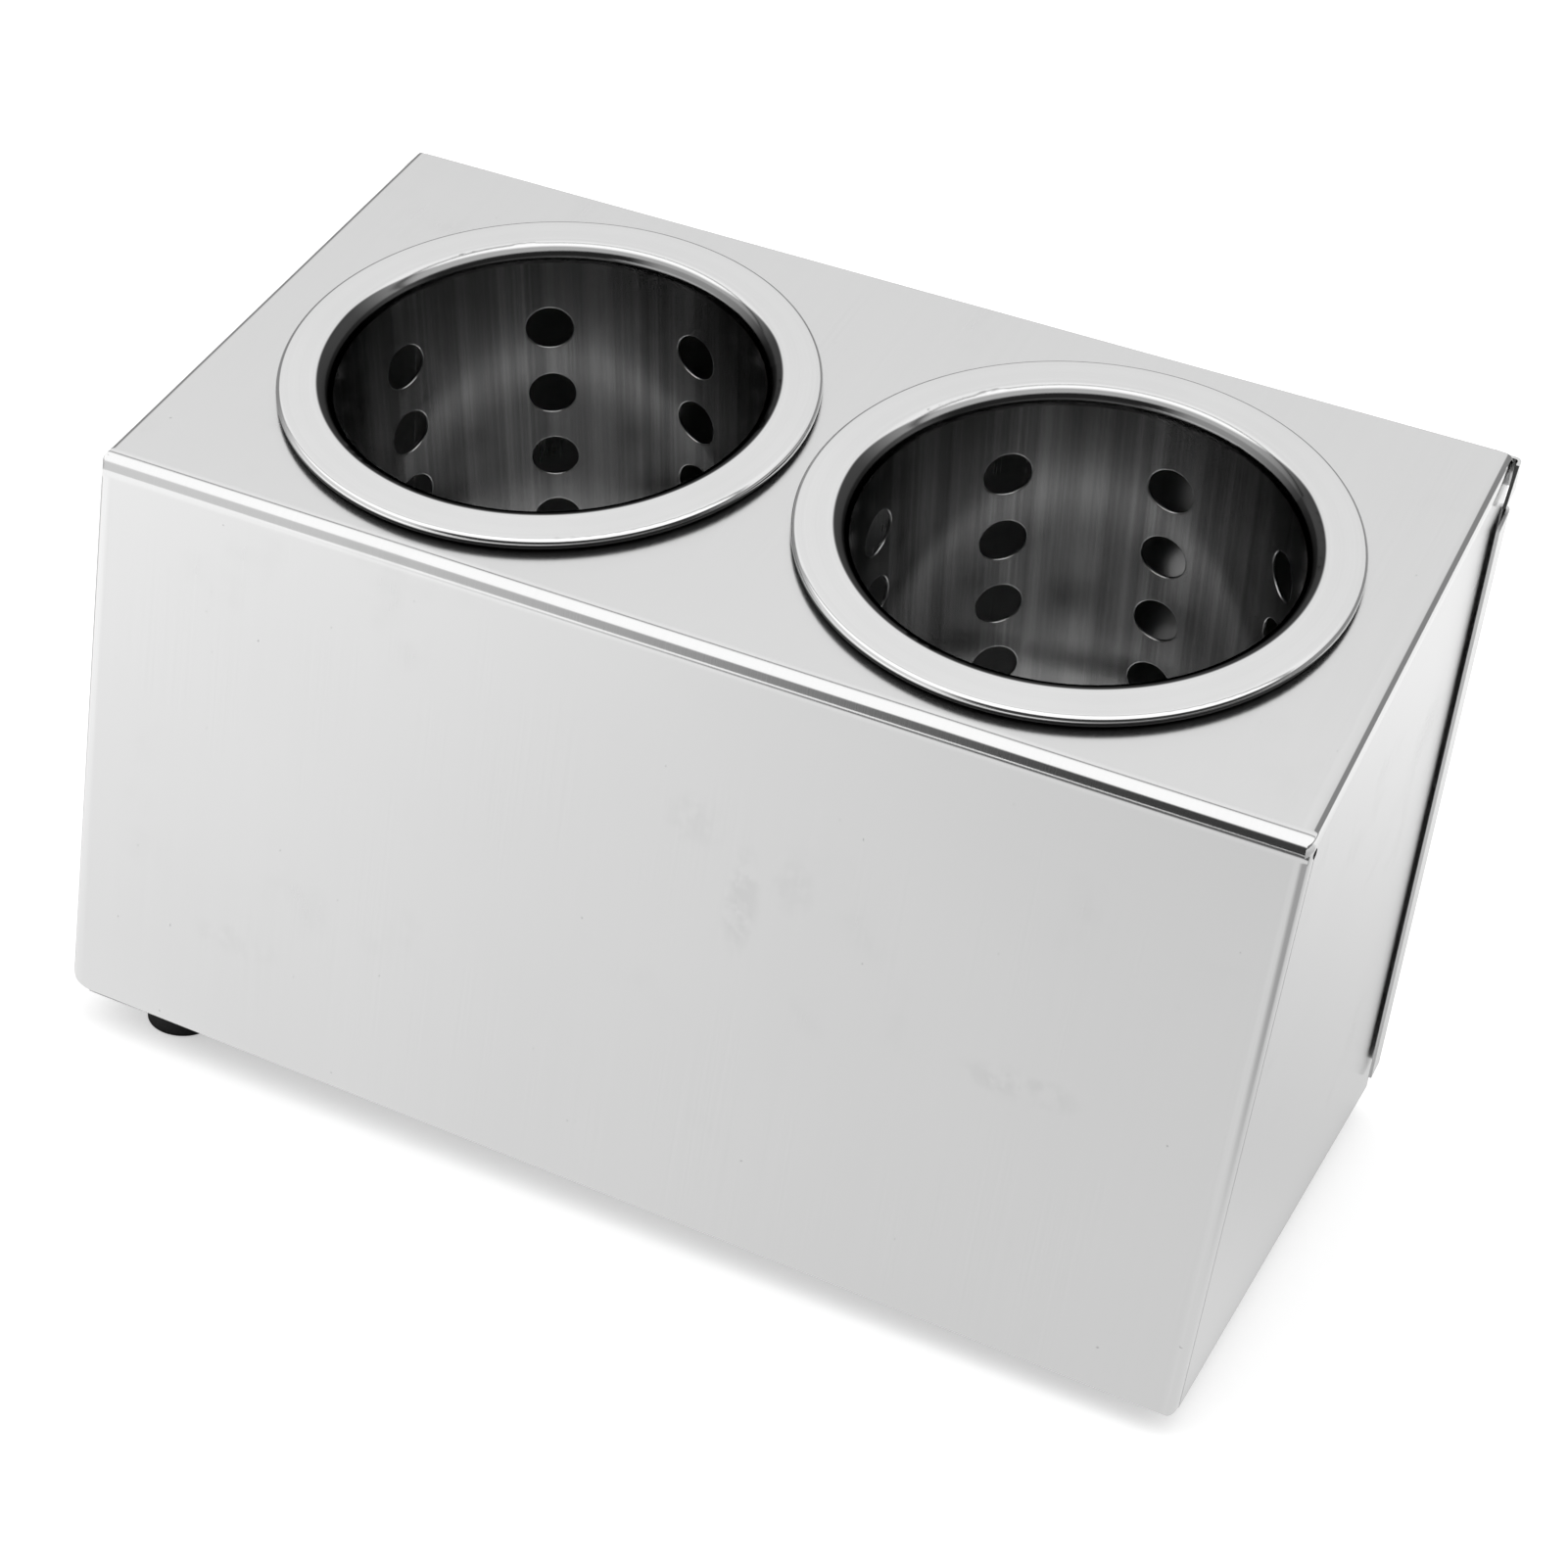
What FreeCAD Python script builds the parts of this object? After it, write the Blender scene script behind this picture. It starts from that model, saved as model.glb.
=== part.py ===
import FreeCAD, Part
import math
import os

# Countertop utensil holder: a folded stainless sheet housing with a sloping top,
# closed by a back panel and a bottom tray, standing on four screwed rubber feet,
# with two perforated cylinders that hang in round holes and lift out.
# Millimetres. +X is the holder's right, +Y its back, +Z up.
# The origin is on the resting surface, under the middle of the holder.

Vector = FreeCAD.Vector
Placement = FreeCAD.Placement
Rotation = FreeCAD.Rotation
X_AXIS = Vector(1, 0, 0)
Y_AXIS = Vector(0, 1, 0)
Z_AXIS = Vector(0, 0, 1)

# Housing
body_width = 280.0
base_depth = 162.0
front_height = 138.0
top_slope = 18.0
top_length = 139.5
sheet = 0.8
fold_radius = 2.2
seam_setback = 2.6
seam_gap = 0.3
corner_relief = 2.4

# Lower edge of the front, which rises to the left and hangs below the right side
front_edge_rise = 3.0
front_edge_drop = 1.0
front_corner_left = 5.5
front_corner_right = 2.0
corner_notch = 8.0

# Rear lip of the top and its two ears
lip_height = 9.0
lip_inset = 3.0
ear_depth = 9.5
ear_top_depth = 3.0
ear_top_drop = 1.5
ear_left_drop = 3.2

# Back panel
flange_gap = 0.9
flange_depth = 8.5
flange_top_gap = 4.0
flange_top_fall = 2.8
flange_lift = 9.0
panel_radius = 1.6
panel_top_drop = 3.5
edge_clearance = 0.5

# Bottom tray
tray_recess = 1.5
tray_flange = 12.0
tray_radius = 1.2
tray_corner_cut = 4.0

# Feet and their fasteners
foot_height = 8.5
foot_diameter = 16.0
foot_edge_radius = 1.8
foot_side_inset = 22.0
foot_left_inset = 15.0
foot_right_inset = 19.0
foot_rear_inset = 15.0
screw_diameter = 4.0
screw_clearance = 0.3
thread_clearance = 0.1
head_diameter = 7.2
head_height = 2.4
head_recess = 3.2
recess_diameter = 8.6
cross_width = 0.9
cross_length = 4.2
cross_depth = 1.2
washer_diameter = 9.0
washer_thickness = 0.8
nut_flats = 7.0
nut_height = 3.2
screw_end = 1.2

# Cylinders
cylinder_spacing = 128.0
cylinder_front_inset = 67.5
cylinder_bore = 98.0
cylinder_wall = 0.7
cylinder_height = 100.0
cylinder_base_radius = 8.0
rim_diameter = 123.2
rim_height = 3.1
rim_curl_radius = 1.4
rim_curl_end = -135.0
lip_radius = 3.4
seat_clearance = 0.3
hole_diameter = 11.5
hole_columns = 8
hole_rows = 4
hole_pitch = 19.2
first_hole_depth = 22.5
base_hole_ring = 50.0
base_hole_count = 6
cylinder_turns = {"left": -29.5, "right": -39.0}

# Places that follow from the sizes above
slope = math.radians(top_slope)
half_width = body_width / 2
front_y = -base_depth / 2
rear_y = base_depth / 2
tray_bottom = foot_height
body_bottom = tray_bottom - tray_recess
front_edge_ends = {-1: body_bottom + front_edge_rise, 1: body_bottom - front_edge_drop}
side_edges = {-1: body_bottom + front_edge_rise, 1: body_bottom}
front_corners = {-1: front_corner_left, 1: front_corner_right}
corner_depths = {-1: corner_notch, 1: seam_setback}
front_top = Vector(0, front_y, body_bottom + front_height)
up_slope = Vector(0, math.cos(slope), math.sin(slope))
top_normal = Vector(0, -math.sin(slope), math.cos(slope))
rear_top = front_top + up_slope * top_length
rear_bottom = Vector(0, rear_y, body_bottom)
back_rise = rear_top - up_slope * sheet - top_normal * panel_top_drop - rear_bottom
back_lean = math.atan2(-back_rise.y, back_rise.z)
back_run = back_rise.Length
flange_inner = half_width + flange_gap
flange_outer = flange_inner + sheet
beyond = base_depth


def back_placement():
    """Frame of the back: X across, Y out of the panel's outer face, Z up along it."""
    return Placement(rear_bottom, Rotation(X_AXIS, math.degrees(back_lean)))


def top_placement(x, distance):
    """Frame on the top's outer face: Y up the slope, Z out of the face."""
    place = front_top + up_slope * distance + X_AXIS * x
    return Placement(place, Rotation(X_AXIS, top_slope))


def placed(shape, placement):
    return shape.transformed(placement.Matrix, True)


def across(face, width):
    """Extrudes a face drawn in XY, taken as Y and Z, by width, centred on x = 0."""
    turn = Rotation(Y_AXIS, Z_AXIS, X_AXIS, "XYZ")
    solid = face.extrude(Z_AXIS * width)
    return placed(solid, Placement(X_AXIS * (-width / 2), turn))


def polygon_face(points):
    return Part.Face(Part.makePolygon(points + points[:1]))


def box_between(low, high):
    size = high - low
    return Part.makeBox(size.x, size.y, size.z, low)


def arc(centre, radius, start, end):
    """Arc in the XZ plane, from the start angle to the end angle in degrees."""
    def at(angle):
        turn = math.radians(angle)
        return centre + Vector(math.cos(turn), 0, math.sin(turn)) * radius
    return Part.Arc(at(start), at((start + end) / 2), at(end)).toShape()


def line(start, end):
    return Part.LineSegment(start, end).toShape()


def rounded_path(points, radius):
    """Edges along the points, with each inner corner rounded to the radius."""
    edges = []
    start = points[0]
    for before, corner, after in zip(points, points[1:], points[2:]):
        back = (before - corner).normalize()
        ahead = (after - corner).normalize()
        half_angle = back.getAngle(ahead) / 2
        reach = radius / math.tan(half_angle)
        depth = radius / math.sin(half_angle) - radius
        middle = corner + (back + ahead).normalize() * depth
        edges.append(line(start, corner + back * reach))
        edges.append(Part.Arc(corner + back * reach, middle, corner + ahead * reach).toShape())
        start = corner + ahead * reach
    edges.append(line(start, points[-1]))
    return edges


def offset_points(points, distance):
    """The path moved to its left by the distance, with mitred corners, in XY."""
    sides = []
    for start, end in zip(points, points[1:]):
        along = (end - start).normalize()
        sides.append(Vector(-along.y, along.x, 0))
    moved = [points[0] + sides[0] * distance]
    for corner, first, second in zip(points[1:], sides, sides[1:]):
        mitre = (first + second) / (1 + first.dot(second))
        moved.append(corner + mitre * distance)
    moved.append(points[-1] + sides[-1] * distance)
    return moved


def bent_strip(points, radius):
    """Face of one sheet bent along the points, with its thickness on their left."""
    inner = offset_points(points, sheet)
    edges = rounded_path(points, radius)
    edges.append(line(points[-1], inner[-1]))
    edges += rounded_path(inner[::-1], radius - sheet)
    edges.append(line(inner[0], points[0]))
    return Part.Face(Part.Wire(Part.__sortEdges__(edges)))


def wedge(inset, radius):
    """Housing envelope, inset from the outside and open at the bottom and back."""
    low = body_bottom - front_edge_drop - (beyond if inset else 0.0)
    front = front_y + inset
    corner_z = front_top.z - inset * math.tan(math.pi / 4 - slope / 2)
    end_y = rear_y + beyond
    end_z = corner_z + (end_y - front) * math.tan(slope)
    outline = [Vector(front, low, 0), Vector(front, corner_z, 0),
               Vector(end_y, end_z, 0), Vector(end_y, low, 0)]
    solid = across(polygon_face(outline), body_width - 2 * inset)
    folds = []
    for edge in solid.Edges:
        ends = [vertex.Point for vertex in edge.Vertexes]
        on_front = all(abs(point.y - front) < sheet / 2 for point in ends)
        on_top = all((point - front_top).dot(top_normal) > -inset - sheet / 2 for point in ends)
        upright = on_front and abs(ends[0].x - ends[1].x) < sheet
        sloping = on_top and abs(ends[0].y - ends[1].y) > base_depth
        front_fold = on_front and on_top
        if upright or sloping or front_fold:
            folds.append(edge)
    return solid.makeFillet(radius, folds)


def behind_back(depth):
    """Everything behind a plane that lies depth inside the back panel's outer face."""
    low = Vector(-beyond * 2, -depth, -beyond)
    high = Vector(beyond * 2, beyond * 3, beyond * 3)
    return placed(box_between(low, high), back_placement())


def rear_lip():
    """The top's rear edge folded square down, with an ear at each end outside the side panel."""
    fold_start = Vector(-4 * fold_radius, 0, 0)
    fold = bent_strip([Vector(0, -lip_height, 0), Vector(), fold_start], fold_radius)
    lip = across(fold, body_width - 2 * lip_inset)
    ears = wrapped_section(0.0, ear_depth).extrude(Z_AXIS * (lip_height - ear_top_drop))
    ears.translate(Z_AXIS * -lip_height)
    slant = polygon_face([Vector(-ear_depth, -lip_height, 0),
                          Vector(-ear_top_depth, -ear_top_drop, 0),
                          Vector(-ear_depth, -ear_top_drop, 0)])
    ears = ears.cut(across(slant, beyond * 4))
    left_low = Vector(-flange_outer - sheet, -beyond, -ear_left_drop)
    ears = ears.cut(box_between(left_low, Vector(-half_width, beyond, 0)))
    return placed(lip.fuse(ears), top_placement(0, top_length))


def wrapped_section(out, depth):
    """Sheet across the back, its outer face at out, wrapped round both sides by depth."""
    right = [Vector(flange_outer, out - depth, 0), Vector(flange_outer, out, 0)]
    left = [Vector(-flange_outer, out, 0), Vector(-flange_outer, out - depth, 0)]
    return bent_strip(right + left, panel_radius)


def housing_shell():
    """Top, front and sides of one folded sheet, with the two round holes in the top."""
    inner_radius = fold_radius - sheet
    shell = wedge(0.0, fold_radius).cut(wedge(sheet, inner_radius))
    shell = shell.cut(behind_back(sheet + edge_clearance))
    shell = shell.fuse(rear_lip())
    hole_radius = cylinder_bore / 2 + cylinder_wall + seat_clearance
    for x in cylinder_places().values():
        hole = Part.makeCylinder(hole_radius, 6 * sheet, Vector(0, 0, -3 * sheet))
        shell = shell.cut(placed(hole, top_placement(x, cylinder_front_inset)))
    shell = shell.cut(lower_trim())
    for side in (-1, 1):
        shell = shell.cut(front_seam(side))
        shell = shell.cut(lower_corner(side))
    return shell.removeSplitter()


def front_seam(side):
    """Open seam between the front's folded edge and a side panel, with its corner relief."""
    seam_y = front_y + seam_setback
    seam_top = front_top.z - fold_radius - corner_relief / 2
    low = Vector(side * half_width - sheet * 1.5, seam_y, body_bottom - front_edge_drop - sheet)
    high = Vector(side * half_width + sheet * 1.5, seam_y + seam_gap, seam_top)
    slot = box_between(low, high)
    relief_start = Vector(side * half_width - sheet * 1.5, seam_y + seam_gap / 2, seam_top)
    relief = Part.makeCylinder(corner_relief / 2, sheet * 3, relief_start, X_AXIS)
    return slot.fuse(relief)


def lower_trim():
    """What is cut away below the sides and below the front's sloping lower edge."""
    low = body_bottom - front_edge_drop - sheet
    before = front_y - sheet
    outline = [Vector(-half_width, before, low), Vector(half_width, before, low),
               Vector(half_width, before, front_edge_ends[1]),
               Vector(-half_width, before, front_edge_ends[-1])]
    trims = [polygon_face(outline).extrude(Y_AXIS * (seam_setback + sheet))]
    for side, edge_z in side_edges.items():
        outside_x = side * (half_width + sheet)
        inside_x = side * (half_width - fold_radius)
        near = Vector(min(inside_x, outside_x), front_y + seam_setback, low)
        far = Vector(max(inside_x, outside_x), rear_y + beyond, edge_z)
        trims.append(box_between(near, far))
    return trims


def lower_corner(side):
    """What is cut away to round a lower corner of the front."""
    radius = front_corners[side]
    edge_z = front_edge_ends[side]
    inside_x = side * (half_width - radius)
    outside_x = side * (half_width + sheet)
    low = Vector(min(inside_x, outside_x), front_y - sheet, edge_z - sheet)
    high = Vector(max(inside_x, outside_x), front_y + corner_depths[side], edge_z + radius)
    centre = Vector(inside_x, front_y - 2 * sheet, edge_z + radius)
    round_off = Part.makeCylinder(radius, corner_depths[side] + 4 * sheet, centre, Y_AXIS)
    return box_between(low, high).cut(round_off)


def back_panel():
    """Leaning back with side flanges that wrap round the housing's sides."""
    run_below = 4 * sheet
    panel = wrapped_section(0.0, flange_depth).extrude(Z_AXIS * (back_run + run_below))
    panel.translate(Z_AXIS * -run_below)
    flange_top = back_run + panel_top_drop - lip_height - flange_top_gap
    above = polygon_face([Vector(sheet, flange_top, 0),
                          Vector(-flange_depth, flange_top - flange_top_fall, 0),
                          Vector(-flange_depth, back_run, 0),
                          Vector(sheet, back_run, 0)])
    below = polygon_face([Vector(sheet, flange_lift, 0),
                          Vector(-flange_depth, flange_lift, 0),
                          Vector(-flange_depth, -run_below, 0),
                          Vector(sheet, -run_below, 0)])
    neck = half_width - sheet - edge_clearance
    side_width = flange_outer + sheet - neck
    for side in (-1, 1):
        for outline in (above, below):
            trim = across(outline, side_width)
            trim.translate(X_AXIS * side * (neck + side_width / 2))
            panel = panel.cut(trim)
    panel = placed(panel, back_placement())
    floor_low = Vector(-body_width, -body_width, -beyond)
    floor = box_between(floor_low, Vector(body_width, body_width, body_bottom))
    return panel.cut(floor)


def tray_block(inset, radius):
    """Tray envelope, inset from the tray's outside and open at the top."""
    front = front_y + sheet + inset
    low = tray_bottom + inset
    high = tray_bottom + tray_flange + (beyond if inset else 0.0)
    inside = (sheet + inset) / math.cos(back_lean)

    def rear(z):
        return rear_y - (z - body_bottom) * math.tan(back_lean) - inside
    outline = [Vector(front, low, 0), Vector(front, high, 0),
               Vector(rear(high), high, 0), Vector(rear(low), low, 0)]
    width = body_width - 2 * sheet - 2 * inset
    solid = across(polygon_face(outline), width)
    folds = []
    for edge in solid.Edges:
        if all(abs(vertex.Point.z - low) < sheet / 2 for vertex in edge.Vertexes):
            folds.append(edge)
    return solid.makeFillet(radius, folds)


def bottom_tray():
    """Shallow pan inside the housing's lower edge, with a screw hole over each foot."""
    tray = tray_block(0.0, tray_radius).cut(tray_block(sheet, tray_radius - sheet))
    corner_x = half_width - sheet
    for x in (-corner_x, corner_x):
        for y in (front_y + sheet, rear_y - sheet):
            low = Vector(x - tray_corner_cut, y - tray_corner_cut, tray_bottom - sheet)
            high = Vector(x + tray_corner_cut, y + tray_corner_cut, tray_bottom + 2 * tray_flange)
            tray = tray.cut(box_between(low, high))
    hole_radius = (screw_diameter + screw_clearance) / 2
    for place in foot_places().values():
        start = place + Z_AXIS * (tray_bottom - sheet)
        tray = tray.cut(Part.makeCylinder(hole_radius, 3 * sheet, start))
    return tray


def foot_places():
    x = half_width - foot_side_inset
    rear = rear_y - foot_rear_inset
    return {"front_left": Vector(-x, front_y + foot_left_inset, 0),
            "front_right": Vector(x, front_y + foot_right_inset, 0),
            "rear_left": Vector(-x, rear, 0), "rear_right": Vector(x, rear, 0)}


def foot():
    """Rubber bumper with a rounded lower edge and a recess for the screw's head."""
    outer = foot_diameter / 2
    hole = (screw_diameter + screw_clearance) / 2
    recess = recess_diameter / 2
    centre = Vector(outer - foot_edge_radius, 0, foot_edge_radius)
    edges = [line(Vector(hole, 0, foot_height), Vector(outer, 0, foot_height)),
             line(Vector(outer, 0, foot_height), Vector(outer, 0, foot_edge_radius)),
             arc(centre, foot_edge_radius, 0, -90),
             line(Vector(outer - foot_edge_radius, 0, 0), Vector(recess, 0, 0)),
             line(Vector(recess, 0, 0), Vector(recess, 0, head_recess)),
             line(Vector(recess, 0, head_recess), Vector(hole, 0, head_recess)),
             line(Vector(hole, 0, head_recess), Vector(hole, 0, foot_height))]
    return Part.Face(Part.Wire(edges)).revolve(Vector(), Z_AXIS, 360)


def foot_screw():
    """Pan-head screw, head down in the foot's recess, with a cross slot."""
    head_bottom = head_recess - head_height
    screw = Part.makeCylinder(head_diameter / 2, head_height, Z_AXIS * head_bottom)
    shank_top = foot_height + sheet + washer_thickness + nut_height + screw_end
    screw = screw.fuse(Part.makeCylinder(screw_diameter / 2, shank_top - head_recess, Z_AXIS * head_recess))
    for length, width in ((cross_length, cross_width), (cross_width, cross_length)):
        slot = Part.makeBox(length, width, cross_depth, Vector(-length / 2, -width / 2, head_bottom))
        screw = screw.cut(slot)
    return screw.removeSplitter()


def foot_washer():
    low = Z_AXIS * (foot_height + sheet)
    ring = Part.makeCylinder(washer_diameter / 2, washer_thickness, low)
    return ring.cut(Part.makeCylinder((screw_diameter + screw_clearance) / 2, washer_thickness, low))


def foot_nut():
    low = Z_AXIS * (foot_height + sheet + washer_thickness)
    corner = nut_flats / math.sqrt(3)
    points = []
    for step in range(6):
        turn = math.radians(60 * step)
        points.append(low + Vector(math.cos(turn), math.sin(turn), 0) * corner)
    nut = polygon_face(points).extrude(Z_AXIS * nut_height)
    return nut.cut(Part.makeCylinder((screw_diameter + thread_clearance) / 2, nut_height, low))


def cylinder_places():
    return {"left": -cylinder_spacing / 2, "right": cylinder_spacing / 2}


def cylinder_body():
    """Deep cup with a flat curled rim, drawn about Z with the top's outer face at z = 0."""
    bore = cylinder_bore / 2
    outer = bore + cylinder_wall
    floor = rim_height - cylinder_height
    lip_centre = Vector(bore + lip_radius, 0, rim_height - lip_radius)
    curl_centre = Vector(rim_diameter / 2 - rim_curl_radius, 0, rim_height - rim_curl_radius)
    curl_inner = rim_curl_radius - cylinder_wall
    base_centre = Vector(outer - cylinder_base_radius, 0, floor + cylinder_base_radius)
    under_rim = rim_height - cylinder_wall
    outer_curl = arc(curl_centre, rim_curl_radius, 90, rim_curl_end)
    inner_curl = arc(curl_centre, curl_inner, 90, rim_curl_end)
    edges = [line(Vector(0, 0, floor), Vector(base_centre.x, 0, floor)),
             arc(base_centre, cylinder_base_radius, -90, 0),
             line(Vector(outer, 0, base_centre.z), Vector(outer, 0, lip_centre.z)),
             arc(lip_centre, lip_radius - cylinder_wall, 180, 90),
             line(Vector(lip_centre.x, 0, under_rim), Vector(curl_centre.x, 0, under_rim)),
             inner_curl,
             line(inner_curl.Vertexes[-1].Point, outer_curl.Vertexes[-1].Point),
             outer_curl,
             line(Vector(curl_centre.x, 0, rim_height), Vector(lip_centre.x, 0, rim_height)),
             arc(lip_centre, lip_radius, 90, 180),
             line(Vector(bore, 0, lip_centre.z), Vector(bore, 0, base_centre.z)),
             arc(base_centre, cylinder_base_radius - cylinder_wall, 0, -90),
             line(Vector(base_centre.x, 0, floor + cylinder_wall), Vector(0, 0, floor + cylinder_wall)),
             line(Vector(0, 0, floor + cylinder_wall), Vector(0, 0, floor))]
    profile = Part.Face(Part.Wire(Part.__sortEdges__(edges)))
    return profile.revolve(Vector(), Z_AXIS, 360)


def cylinder_holes():
    """Punches for the columns of holes in the wall and the drain holes in the base."""
    radius = hole_diameter / 2
    reach = cylinder_bore / 2 + 2 * cylinder_wall
    start = cylinder_bore / 4
    punches = []
    for column in range(hole_columns):
        turn = math.radians(90 - 360 / hole_columns * column)
        way = Vector(math.cos(turn), math.sin(turn), 0)
        for row in range(hole_rows):
            height = rim_height - first_hole_depth - hole_pitch * row
            punches.append(Part.makeCylinder(radius, reach - start, way * start + Z_AXIS * height, way))
    floor = Z_AXIS * (rim_height - cylinder_height - cylinder_wall)
    punches.append(Part.makeCylinder(radius, 3 * cylinder_wall, floor))
    for step in range(base_hole_count):
        turn = math.radians(360 / base_hole_count * step)
        way = Vector(math.cos(turn), math.sin(turn), 0)
        punches.append(Part.makeCylinder(radius, 3 * cylinder_wall, floor + way * (base_hole_ring / 2)))
    return punches


def main():
    os.makedirs("parts", exist_ok=True)
    nodes = {"housing_shell": housing_shell(), "back_panel": back_panel(), "bottom_tray": bottom_tray()}
    screws = []
    washers = []
    nuts = []
    for name, place in foot_places().items():
        nodes["foot_" + name] = foot().translated(place)
        screws.append(foot_screw().translated(place))
        washers.append(foot_washer().translated(place))
        nuts.append(foot_nut().translated(place))
    nodes["foot_screws"] = Part.makeCompound(screws)
    nodes["foot_washers"] = Part.makeCompound(washers)
    nodes["foot_nuts"] = Part.makeCompound(nuts)
    cup = cylinder_body().cut(cylinder_holes())
    for side, x in cylinder_places().items():
        turned = placed(cup, Placement(Vector(), Rotation(Z_AXIS, -cylinder_turns[side])))
        nodes["cylinder_" + side] = placed(turned, top_placement(x, cylinder_front_inset))
    for name, shape in nodes.items():
        print(name, len(shape.Solids), "solids, valid", shape.isValid(), shape.BoundBox)
        shape.exportStep("parts/" + name + ".step")


main()
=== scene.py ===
import math

import bpy
from mathutils import Matrix, Vector

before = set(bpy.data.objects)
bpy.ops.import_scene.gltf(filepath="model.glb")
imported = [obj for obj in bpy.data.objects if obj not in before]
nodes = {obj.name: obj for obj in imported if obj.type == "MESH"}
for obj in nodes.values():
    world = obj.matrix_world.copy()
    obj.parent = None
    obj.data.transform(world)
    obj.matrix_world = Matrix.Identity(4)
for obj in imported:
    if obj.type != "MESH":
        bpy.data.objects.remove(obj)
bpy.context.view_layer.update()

# Sizes of the holder that the looks follow, in metres and radians
top_slope = math.radians(18.0)
half_width = 0.14
half_depth = 0.081
front_fold_z = 0.145
cylinder_x = 0.064
cylinder_front_inset = 0.0675
cylinder_bore_radius = 0.049
cylinder_wall = 0.0007
rim_radius = 0.0616
rim_height = 0.0031
rim_curl_radius = 0.0014

# Places that follow from those sizes
front_y = -half_depth
rear_y = half_depth
top_facing = (0.0, -math.sin(top_slope), math.cos(top_slope))
top_out = front_y * top_facing[1] + front_fold_z * top_facing[2]
cylinder_y = front_y + cylinder_front_inset * math.cos(top_slope)
cylinder_z = front_fold_z + cylinder_front_inset * math.sin(top_slope)
cylinder_centres = {
    "cylinder_left": (-cylinder_x, cylinder_y, cylinder_z),
    "cylinder_right": (cylinder_x, cylinder_y, cylinder_z),
}
curl_centre_radius = rim_radius - rim_curl_radius
curl_centre_height = rim_height - rim_curl_radius

# Outer faces of the housing: the way each one looks, and how far out it lies that way
faces = {
    "front": ((0.0, -1.0, 0.0), -front_y),
    "left": ((-1.0, 0.0, 0.0), half_width),
    "right": ((1.0, 0.0, 0.0), half_width),
    "top": (top_facing, top_out),
}

# Folds between two faces, and how far the soft look of each fold reaches on either face
soft_folds = (
    ("front", "left", 0.003, 0.002),
    ("front", "right", 0.003, 0.002),
    ("left", "top", 0.002, 0.0025),
    ("right", "top", 0.0025, 0.004),
    ("front", "top", 0.0045, 0.003),
)

# Where that soft look ends: along and into the sheet in metres, and by facing as cosines
fold_soft_end = 0.0004
fold_depths = (0.008, 0.006)
fold_facing = (0.4, 0.6)

# Faint marks of handling on the front: middle across and up, reach across and up, strength
front_smudges = (
    ((0.012, 0.106), (0.007, 0.006), 0.5),
    ((0.025, 0.091), (0.004, 0.012), 0.9),
    ((0.036, 0.098), (0.005, 0.006), 0.5),
    ((0.092, 0.071), (0.013, 0.004), 0.8),
    ((-0.096, 0.037), (0.011, 0.004), 0.4),
)

# How those marks end: squared distance in reaches, noise that breaks them, metres behind the front
mark_end = 1.6
mark_breaks = (0.38, 0.62)
mark_depths = (0.002, 0.001)

# Noise patterns: features for each unit of their coordinates, then levels of detail and their roughness
brush_noise = (1.0, 3.0, 0.6)
cloud_noise = (11.0, 3.0, 0.55)
smudge_noise = (26.0, 4.0, 0.6)
speck_noise = (700.0, 1.0, 0.5)
mark_noise = (190.0, 3.0, 0.6)
ring_noise = (1.0, 2.0, 0.5)
streak_noise = (9.0, 4.0, 0.65)
fine_streak_noise = (90.0, 2.0, 0.6)
rim_cloud_noise = (30.0, 3.0, 0.55)
fastener_noise = (1500.0, 3.0, 0.6)
rubber_noise = (1800.0, 4.0, 0.65)
dust_noise = (160.0, 3.0, 0.6)

# Brushing and turning marks for each metre, across the marks and along them
brush_across = 2600.0
brush_along = 14.0
rings_across = 1800.0

# Sheet: grey tone, roughness, and how far each pattern changes them
relief_depth = 0.0001
sheet_tone = 0.74
sheet_tone_grain = 0.05
sheet_tone_cloud = 0.04
smudge_range = (0.58, 0.75)
smudge_tone = 0.015
mark_tone = 0.06
speck_range = (0.8, 0.84)
speck_tone = 0.15
sheet_rough = 0.24
sheet_rough_grain = 0.1
bent_facing = (0.985, 0.93)
bent_rough = 0.11
smudge_rough = 0.04
side_facing_range = (0.6, 0.8)
side_relief = 0.2
sheet_relief = 0.04

# Where the parts of a cylinder begin, and where painted shade lies on the inner lip and under the roll, in
# metres up from the top sheet or out from the bore
wall_start = (-0.0004, -0.001)
lip_start = (-0.0012, -0.0006)
lip_near_reach = 0.0035
lip_far_reach = 0.0018
lip_soft = 0.0003
shade_reaches = (0.004, 0.006)
shade_heights = (0.0008, 0.002)
shade_soft = 0.0002
base_heights = (-0.06, -0.08)
curl_soft = 0.0001

# How those parts fade in: shares of the wall's thickness, then ways and facings as cosines
wall_shares = (0.6, 0.2)
far_way = (-0.34, 0.94, 0.0)
far_range = (0.3, 0.8)
shade_range = (0.3, -0.5)
curl_facing = (0.2, 0.4)

# Softened edges of the punched holes: reach in metres, samples, and facing where their painted highlight
# shows
punched_bevel = 0.0006
punched_samples = 6
punched_facing = (0.97, 0.85)

# Cylinders: grey tones, roughness, and how far each pattern changes them, with painted shade, highlights and
# light among the tones
rim_tone = 0.78
rim_tone_rings = 0.05
rim_tone_cloud = 0.06
rim_rough = 0.11
rim_rough_rings = 0.06
# Inside wall: painted shade lowers its tone, with streaks of drawing marks and painted reflection
streak_range = (0.38, 0.66)
streak_and_shade_tones = (0.28, 0.5)
wall_tone_fine = 0.08
wall_rough = 0.2
wall_rough_fine = 0.08
# Painted reflection lightening the lower inside wall
base_painted_light = 0.3
punched_highlight_tone = 0.9
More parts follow.
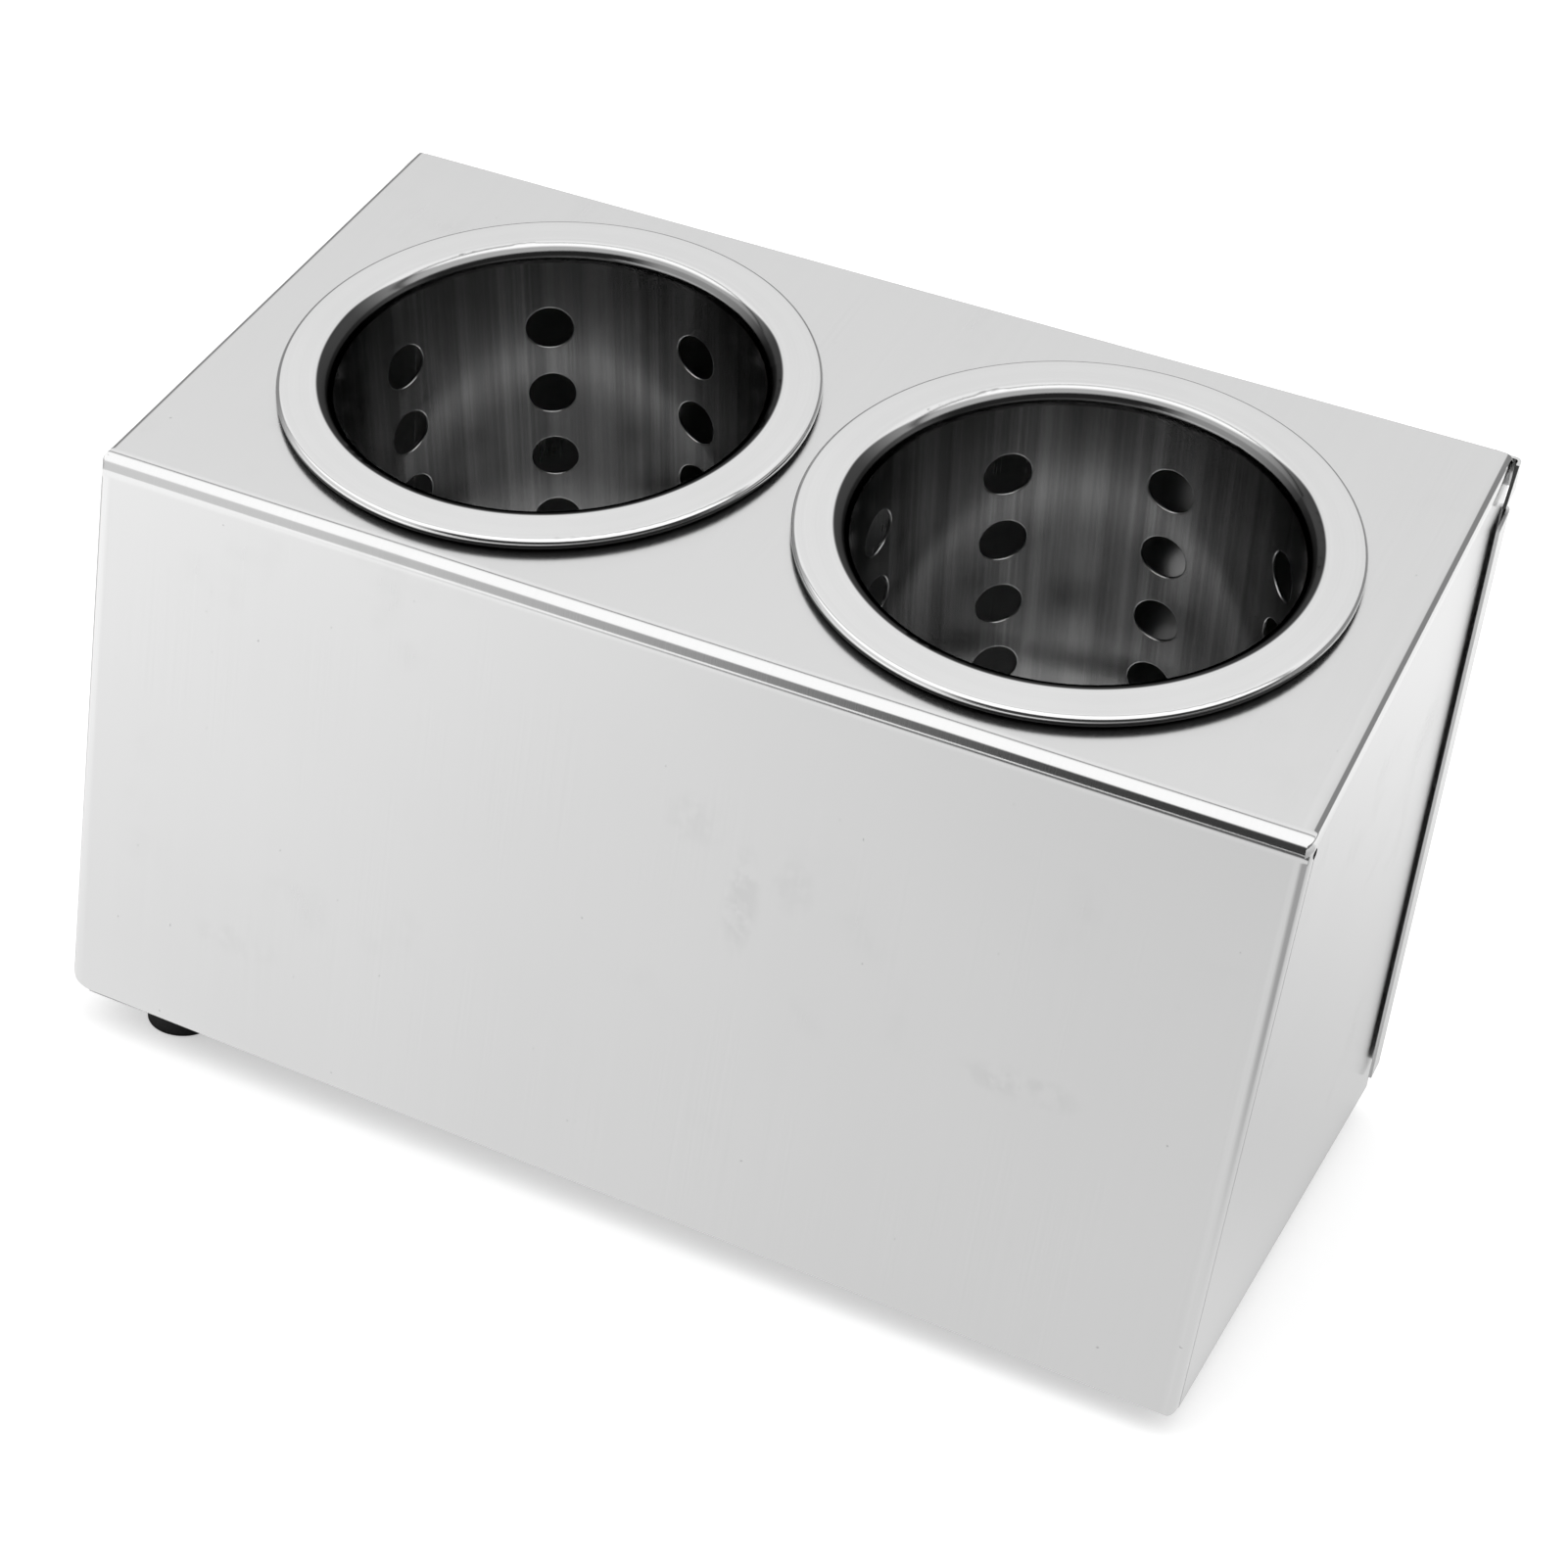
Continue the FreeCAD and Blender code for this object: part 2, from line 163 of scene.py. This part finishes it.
# Inner lip: painted shade, darker on the near side, and its glancing reflection dimmed as painted shade
lip_near_shade = 0.06
lip_far_shade = 0.3
lip_glance_shade = 0.1
# Painted shade under the rim's roll, with roughness to match
shade_tone = 0.03
shade_rough = 0.5
cylinder_relief = 0.03

# Fasteners and rubber: grey tone, roughness, and how far the grain changes them
fastener_tone = 0.56
fastener_tone_grain = 0.12
fastener_rough = 0.35
fastener_rough_grain = 0.15
fastener_relief = 0.1
rubber_tone = 0.016
rubber_tone_dust = 0.014
rubber_rough = 0.68
rubber_rough_grain = 0.25
rubber_relief = 0.3
rubber_relief_depth = 0.0002

# Floor: its size and colour, and the painted light it glows with in reflections by place, in metres
floor_size = 12.0
floor_colour = (0.85, 0.85, 0.85, 1.0)
floor_lift = 0.5
floor_fade_x = (-0.45, 0.15)
floor_fade_levels = (1.22, 0.83)
floor_edge_x = (0.18, 0.36)
floor_edge_level = 0.45
floor_far_y = (-0.55, -0.8)
floor_far_x = (-0.5, -0.15)
floor_far_level = 0.12
floor_back_y = (0.0, 0.45)
floor_back_levels = (0.74, 1.12)
floor_turn_y = (-0.06, 0.06)
floor_under_shade_level = 0.08
floor_under_soft = 0.004

# Studio: angles up from the front in radians, parts of a unit way, and levels
screen_angles = (0.6, 1.62)
screen_soft = 0.05
screen_level = 1.3
slot_angles = (1.7, 1.79)
slot_soft = 0.04
slot_level = 0.3
rear_angles = (1.85, 2.25)
rear_levels = (1.06, 0.88)
behind_range = (-0.2, 0.3)
low_heights = (0.62, 0.5)
low_back_level = 0.3
low_front_x = (-0.2, -0.5)
low_front_levels = (0.05, 0.8)
white = (1.0, 1.0, 1.0, 1.0)

# Camera fitted to the photo
camera_sensor = 36.0
camera_lens = 74.808
camera_near = 0.01
camera_place = (0.236689, -0.648815, 0.418679)
camera_right = (0.903352, 0.403979, 0.144069)
camera_forward = (-0.306465, 0.842972, -0.442127)


class Tree:
    """Short ways to add nodes to a shader tree."""

    def __init__(self, owner):
        owner.use_nodes = True
        self.nodes = owner.node_tree.nodes
        self.links = owner.node_tree.links
        self.nodes.clear()

    def add(self, kind, inputs=None, **settings):
        node = self.nodes.new(kind)
        for name, value in settings.items():
            setattr(node, name, value)
        for name, value in (inputs or {}).items():
            if isinstance(value, bpy.types.NodeSocket):
                self.links.new(value, node.inputs[name])
            else:
                node.inputs[name].default_value = value
        return node

    def math(self, operation, first, second=0.0):
        return self.add("ShaderNodeMath", {0: first, 1: second}, operation=operation).outputs[0]

    def plus(self, first, second):
        return self.math("ADD", first, second)

    def minus(self, first, second):
        return self.math("SUBTRACT", first, second)

    def times(self, first, second):
        return self.math("MULTIPLY", first, second)

    def larger(self, first, second):
        return self.math("MAXIMUM", first, second)

    def absolute(self, value):
        return self.math("ABSOLUTE", value)

    def vector(self, operation, first, second=(0.0, 0.0, 0.0)):
        return self.add("ShaderNodeVectorMath", {0: first, 1: second}, operation=operation).outputs[0]

    def scaled(self, vector, factor):
        return self.add("ShaderNodeVectorMath", {0: vector, "Scale": factor}, operation="SCALE").outputs[0]

    def dot(self, first, second):
        node = self.add("ShaderNodeVectorMath", {0: first, 1: second}, operation="DOT_PRODUCT")
        return node.outputs["Value"]

    def parts(self, vector):
        return self.add("ShaderNodeSeparateXYZ", {0: vector}).outputs

    def ramp(self, value, low, high, start=0.0, end=1.0):
        """Start below low, end above high, and a smooth change between them."""
        inputs = {"Value": value, "From Min": low, "From Max": high, "To Min": start, "To Max": end}
        return self.add("ShaderNodeMapRange", inputs, interpolation_type="SMOOTHSTEP").outputs[0]

    def between(self, value, low, high, soft):
        """One inside the range and zero outside it, with soft ends."""
        rise = self.ramp(value, low - soft, low + soft)
        return self.times(rise, self.ramp(value, high + soft, high - soft))

    def noise(self, vector, pattern):
        scale, detail, roughness = pattern
        inputs = {"Vector": vector, "Scale": scale, "Detail": detail, "Roughness": roughness}
        return self.add("ShaderNodeTexNoise", inputs).outputs["Fac"]

    def mix(self, factor, first, second):
        return self.add("ShaderNodeMix", {0: factor, 2: first, 3: second}, data_type="FLOAT").outputs[0]

    def vary(self, base, pattern, amount):
        """Base moved up and down by amount times a pattern that swings about one half."""
        return self.plus(base, self.times(self.minus(pattern, 0.5), amount))

    def less(self, base, mask, amount):
        return self.minus(base, self.times(mask, amount))

    def turned(self, vector, angle):
        """The vector turned about X."""
        inputs = {"Vector": vector, "Angle": angle}
        return self.add("ShaderNodeVectorRotate", inputs, rotation_type="X_AXIS").outputs[0]

    def blended(self, first, second, factor):
        """The first vector moved towards the second by the factor."""
        return self.vector("ADD", first, self.scaled(self.vector("SUBTRACT", second, first), factor))

    def grey(self, value):
        return self.add("ShaderNodeCombineColor", {0: value, 1: value, 2: value}).outputs[0]


def finish_metal(tree, tone, rough, height, strength, normal=None, edge=None):
    """Metal surface with the given grey tone, roughness, fine relief and tone at a glancing look."""
    relief = {"Strength": strength, "Distance": relief_depth, "Height": height}
    if normal is not None:
        relief["Normal"] = normal
    bump = tree.add("ShaderNodeBump", relief)
    surface = {"Base Color": tree.grey(tone), "Metallic": 1.0, "Roughness": rough, "Normal": bump.outputs[0]}
    if edge is not None:
        surface["Specular Tint"] = tree.grey(edge)
    shader = tree.add("ShaderNodeBsdfPrincipled", surface)
    tree.add("ShaderNodeOutputMaterial", {"Surface": shader.outputs[0]})


def front_marks(tree, point):
    """Handling marks on the front, broken up by noise."""
    x, y, z = tree.parts(point)
    total = 0.0
    for (middle_x, middle_z), (reach_x, reach_z), strength in front_smudges:
        across = tree.math("DIVIDE", tree.minus(x, middle_x), reach_x)
        up = tree.math("DIVIDE", tree.minus(z, middle_z), reach_z)
        far = tree.plus(tree.math("POWER", across, 2.0), tree.math("POWER", up, 2.0))
        total = tree.plus(total, tree.ramp(far, mark_end, 0.0, 0.0, strength))
    broken = tree.ramp(tree.noise(point, mark_noise), *mark_breaks)
    outer, inner = mark_depths
    on_front = tree.ramp(y, front_y + outer, front_y + inner)
    return tree.times(tree.times(total, broken), on_front)


def soft_fold(tree, point, normal, fold):
    """Shading normal that eases one fold into the flat sheet, and where it applies."""
    first, second, first_reach, second_reach = fold
    first_way, first_out = faces[first]
    second_way, second_out = faces[second]
    first_depth = tree.larger(tree.minus(first_out, tree.dot(point, first_way)), 0.0)
    second_depth = tree.larger(tree.minus(second_out, tree.dot(point, second_way)), 0.0)
    along = tree.minus(first_depth, second_depth)
    limits = {"Value": along, "From Min": -first_reach, "From Max": second_reach}
    part = tree.add("ShaderNodeMapRange", limits).outputs[0]
    turn = [after - before for before, after in zip(first_way, second_way)]
    eased = tree.vector("NORMALIZE", tree.vector("ADD", first_way, tree.scaled(turn, part)))
    near = tree.between(along, -first_reach, second_reach, fold_soft_end)
    near = tree.times(near, tree.ramp(tree.plus(first_depth, second_depth), *fold_depths))
    near = tree.times(near, tree.ramp(tree.dot(normal, eased), *fold_facing))
    return tree.vector("NORMALIZE", tree.blended(normal, eased, near)), near


def sheet_material():
    """Folded sheet: fine brushing up the front and over the top, smoother where it is bent."""
    material = bpy.data.materials.new("stainless_sheet")
    tree = Tree(material)
    place = tree.add("ShaderNodeTexCoord")
    point = place.outputs["Object"]
    normal = place.outputs["Normal"]
    facing_x, facing_y = tree.parts(normal)[:2]
    side_facing = tree.absolute(facing_x)
    upper_facing = tree.absolute(tree.dot(normal, top_facing))
    flatness = tree.larger(tree.larger(side_facing, tree.absolute(facing_y)), upper_facing)
    bent = tree.ramp(flatness, *bent_facing)
    eased = normal
    for fold in soft_folds:
        eased, near = soft_fold(tree, point, eased, fold)
        bent = tree.larger(bent, near)
    on_side = tree.ramp(side_facing, *side_facing_range)
    up_place = tree.vector("MULTIPLY", point, (brush_across, brush_along, brush_along))
    side_place = tree.turned(point, -top_slope)
    side_place = tree.vector("MULTIPLY", side_place, (brush_along, brush_along, brush_across))
    grain = tree.mix(on_side, tree.noise(up_place, brush_noise), tree.noise(side_place, brush_noise))
    cloud = tree.noise(point, cloud_noise)
    smudge = tree.ramp(tree.noise(point, smudge_noise), *smudge_range)
    speck = tree.ramp(tree.noise(point, speck_noise), *speck_range)
    tone = tree.vary(sheet_tone, grain, sheet_tone_grain)
    tone = tree.vary(tone, cloud, sheet_tone_cloud)
    tone = tree.less(tone, smudge, smudge_tone)
    tone = tree.less(tone, front_marks(tree, point), mark_tone)
    tone = tree.less(tone, speck, speck_tone)
    rough = tree.vary(sheet_rough, grain, sheet_rough_grain)
    rough = tree.mix(bent, rough, bent_rough)
    rough = tree.plus(rough, tree.times(smudge, smudge_rough))
    relief = tree.mix(on_side, grain, tree.times(grain, side_relief))
    finish_metal(tree, tone, rough, relief, sheet_relief, eased)
    return material


def curl_normal(tree, way, radius, height):
    """Normal of the rim's roll, worked out from its true round section."""
    out = tree.scaled(way, tree.minus(radius, curl_centre_radius))
    up = tree.scaled((0.0, 0.0, 1.0), tree.minus(height, curl_centre_height))
    return tree.turned(tree.vector("NORMALIZE", tree.vector("ADD", out, up)), top_slope)


def cylinder_material(name, centre):
    """Drawn cylinder: turned rings on the rim, an inside darkened by painted shade with streaks of drawing
    marks and painted reflection, painted highlights on the softened punched edges, painted shade on the
    inner lip and under the roll, and painted light low on the wall.
    """
    material = bpy.data.materials.new(name)
    tree = Tree(material)
    point = tree.add("ShaderNodeTexCoord").outputs["Object"]
    local = tree.turned(tree.vector("SUBTRACT", point, centre), -top_slope)
    height = tree.parts(local)[2]
    flat = tree.vector("MULTIPLY", local, (1.0, 1.0, 0.0))
    radius = tree.add("ShaderNodeVectorMath", {0: flat}, operation="LENGTH").outputs["Value"]
    way = tree.vector("NORMALIZE", flat)
    past_bore = tree.minus(radius, cylinder_bore_radius)

    # Patterns
    ring_place = {0: tree.times(radius, rings_across), 1: tree.times(height, rings_across)}
    rings = tree.noise(tree.add("ShaderNodeCombineXYZ", ring_place).outputs[0], ring_noise)
    streaks = tree.noise(way, streak_noise)
    fine_streaks = tree.noise(way, fine_streak_noise)
    cloud = tree.noise(point, rim_cloud_noise)

    # Where each part of the cylinder is, and where painted shade and highlights go
    wall_reaches = [share * cylinder_wall for share in wall_shares]
    wall = tree.times(tree.ramp(past_bore, *wall_reaches), tree.ramp(height, *wall_start))
    # Painted shade on the inner lip, reaching less far on the far side
    far_side = tree.ramp(tree.dot(way, far_way), *far_range)
    lip_reach = tree.mix(far_side, lip_near_reach, lip_far_reach)
    lip = tree.ramp(tree.minus(past_bore, lip_reach), lip_soft, -lip_soft)
    lip = tree.times(lip, tree.ramp(height, *lip_start))
    # Painted shade on the lower roll, reaching higher towards the near side
    shade_height = tree.ramp(tree.parts(way)[1], *shade_range, *shade_heights)
    rim_underside_shade = tree.ramp(tree.minus(height, shade_height), shade_soft, -shade_soft)
    rim_underside_shade = tree.times(rim_underside_shade, tree.ramp(past_bore, *shade_reaches))
    soft_edge = tree.add("ShaderNodeBevel", {"Radius": punched_bevel}, samples=punched_samples).outputs[0]
    plain = tree.add("ShaderNodeNewGeometry").outputs["Normal"]
    # Painted highlight: the hole edges are lifted out of the wall's painted shade
    punched = tree.times(tree.ramp(tree.dot(soft_edge, plain), *punched_facing), wall)

    # Tone of each part, with its painted shade and light
    # Inside wall tone: painted shade, streaked with drawing marks and painted reflection
    shaded_wall_tone = tree.ramp(streaks, *streak_range, *streak_and_shade_tones)
    shaded_wall_tone = tree.vary(shaded_wall_tone, fine_streaks, wall_tone_fine)
    # Painted reflection: the inside wall is lighter low down
    shaded_wall_tone = tree.plus(shaded_wall_tone, tree.ramp(height, *base_heights, 0.0, base_painted_light))
    # Painted highlight on the hole edges
    shaded_wall_tone = tree.mix(punched, shaded_wall_tone, punched_highlight_tone)
    tone = tree.vary(tree.vary(rim_tone, rings, rim_tone_rings), cloud, rim_tone_cloud)
    # Painted shade on the inner lip
    tone = tree.mix(lip, tone, tree.mix(far_side, lip_near_shade, lip_far_shade))
    tone = tree.mix(wall, tone, shaded_wall_tone)
    # Painted shade under the roll
    tone = tree.mix(rim_underside_shade, tone, shade_tone)
    # Painted shade dims the inner lip's glancing reflection
    glance_tone = tree.mix(lip, 1.0, lip_glance_shade)

    # Roughness, relief and the round of the roll
    wall_finish = tree.vary(wall_rough, fine_streaks, wall_rough_fine)
    rough = tree.mix(wall, tree.vary(rim_rough, rings, rim_rough_rings), wall_finish)
    rough = tree.mix(rim_underside_shade, rough, shade_rough)
    grain = tree.mix(wall, rings, fine_streaks)
    rolled = curl_normal(tree, way, radius, height)
    on_curl = tree.ramp(radius, curl_centre_radius - curl_soft, curl_centre_radius + curl_soft)
    on_curl = tree.times(on_curl, tree.ramp(tree.dot(rolled, plain), *curl_facing))
    normal = tree.blended(soft_edge, rolled, on_curl)
    finish_metal(tree, tone, rough, grain, cylinder_relief, normal, glance_tone)
    return material


def fastener_material():
    material = bpy.data.materials.new("fastener_steel")
    tree = Tree(material)
    grain = tree.noise(tree.add("ShaderNodeTexCoord").outputs["Object"], fastener_noise)
    tone = tree.vary(fastener_tone, grain, fastener_tone_grain)
    rough = tree.vary(fastener_rough, grain, fastener_rough_grain)
    finish_metal(tree, tone, rough, grain, fastener_relief)
    return material


def rubber_material():
    material = bpy.data.materials.new("black_rubber")
    tree = Tree(material)
    point = tree.add("ShaderNodeTexCoord").outputs["Object"]
    grain = tree.noise(point, rubber_noise)
    tone = tree.vary(rubber_tone, tree.noise(point, dust_noise), rubber_tone_dust)
    rough = tree.vary(rubber_rough, grain, rubber_rough_grain)
    relief = {"Strength": rubber_relief, "Distance": rubber_relief_depth, "Height": grain}
    bump = tree.add("ShaderNodeBump", relief)
    surface = {"Base Color": tree.grey(tone), "Roughness": rough, "Normal": bump.outputs[0]}
    shader = tree.add("ShaderNodeBsdfPrincipled", surface)
    tree.add("ShaderNodeOutputMaterial", {"Surface": shader.outputs[0]})
    return material


def put(material, *names):
    for name in names:
        mesh = nodes[name].data
        mesh.materials.clear()
        mesh.materials.append(material)


def painted_floor_reflection(tree, x, y):
    """Painted light in the floor's reflections: a glow brighter at the left, with painted shade far in front
    and under the holder.
    """
    front_level = tree.ramp(x, *floor_fade_x, *floor_fade_levels)
    front_level = tree.mix(tree.ramp(x, *floor_edge_x), front_level, floor_edge_level)
    far = tree.times(tree.ramp(y, *floor_far_y), tree.ramp(x, *floor_far_x))
    front_level = tree.mix(far, front_level, floor_far_level)
    back_level = tree.ramp(y, *floor_back_y, *floor_back_levels)
    level = tree.mix(tree.ramp(y, *floor_turn_y), front_level, back_level)
    across = tree.between(x, -half_width, half_width, floor_under_soft)
    under = tree.times(across, tree.between(y, front_y, rear_y, floor_under_soft))
    return tree.mix(under, level, floor_under_shade_level)


def add_floor():
    """Pale floor: lit by the studio, lifted to white for the camera, and glowing with painted light and
    shade in reflections.
    """
    bpy.ops.mesh.primitive_plane_add(size=floor_size, location=(0.0, 0.0, 0.0))
    floor = bpy.context.object
    floor.name = "floor"
    material = bpy.data.materials.new("floor_white")
    tree = Tree(material)
    ray = tree.add("ShaderNodeLightPath")
    x, y = tree.parts(tree.add("ShaderNodeTexCoord").outputs["Object"])[:2]
    lift = tree.times(ray.outputs["Is Camera Ray"], floor_lift)
    diffuse = tree.add("ShaderNodeBsdfDiffuse", {"Color": floor_colour})
    glow = tree.add("ShaderNodeEmission", {"Color": white, "Strength": lift})
    lit = tree.add("ShaderNodeAddShader", {0: diffuse.outputs[0], 1: glow.outputs[0]})
    # Painted light: in reflections the floor glows with these levels
    level = tree.grey(painted_floor_reflection(tree, x, y))
    painted_reflection = tree.add("ShaderNodeEmission", {"Color": level, "Strength": 1.0})
    choice = {0: ray.outputs["Is Glossy Ray"], 1: lit.outputs[0], 2: painted_reflection.outputs[0]}
    seen = tree.add("ShaderNodeMixShader", choice)
    tree.add("ShaderNodeOutputMaterial", {"Surface": seen.outputs[0]})
    floor.data.materials.append(material)


def add_world():
    """Soft studio surround: a bright screen over the front, dark low in front and grey low at the back."""
    world = bpy.data.worlds.new("studio")
    bpy.context.scene.world = world
    tree = Tree(world)
    x, y, height = tree.parts(tree.add("ShaderNodeTexCoord").outputs["Generated"])
    front_angle = tree.math("ARCTAN2", height, tree.times(y, -1.0))
    screen = tree.between(front_angle, *screen_angles, screen_soft)
    slot = tree.between(front_angle, *slot_angles, slot_soft)
    rear_level = tree.ramp(front_angle, *rear_angles, *rear_levels)
    level = tree.mix(slot, tree.mix(screen, rear_level, screen_level), slot_level)
    low_front_level = tree.ramp(x, *low_front_x, *low_front_levels)
    low_level = tree.mix(tree.ramp(y, *behind_range), low_front_level, low_back_level)
    level = tree.mix(tree.ramp(height, *low_heights), level, low_level)
    surround = tree.add("ShaderNodeBackground", {"Color": tree.grey(level), "Strength": 1.0})
    plain = tree.add("ShaderNodeBackground", {"Color": white, "Strength": 1.0})
    ray = tree.add("ShaderNodeLightPath")
    choice = {0: ray.outputs["Is Camera Ray"], 1: surround.outputs[0], 2: plain.outputs[0]}
    mixed = tree.add("ShaderNodeMixShader", choice)
    tree.add("ShaderNodeOutputWorld", {"Surface": mixed.outputs[0]})


def add_camera():
    data = bpy.data.cameras.new("photo_camera")
    data.sensor_width = camera_sensor
    data.lens = camera_lens
    data.clip_start = camera_near
    camera = bpy.data.objects.new("photo_camera", data)
    bpy.context.scene.collection.objects.link(camera)
    right = Vector(camera_right).normalized()
    forward = Vector(camera_forward).normalized()
    up = right.cross(forward)
    place = Matrix((right, up, -forward)).transposed().to_4x4()
    place.translation = Vector(camera_place)
    camera.matrix_world = place
    bpy.context.scene.camera = camera


put(sheet_material(), "housing_shell", "back_panel", "bottom_tray")
for name, centre in cylinder_centres.items():
    put(cylinder_material("stainless_" + name, centre), name)
put(rubber_material(), "foot_front_left", "foot_front_right", "foot_rear_left", "foot_rear_right")
put(fastener_material(), "foot_screws", "foot_washers", "foot_nuts")
add_floor()
add_world()
add_camera()
bpy.context.scene.view_settings.view_transform = "Standard"
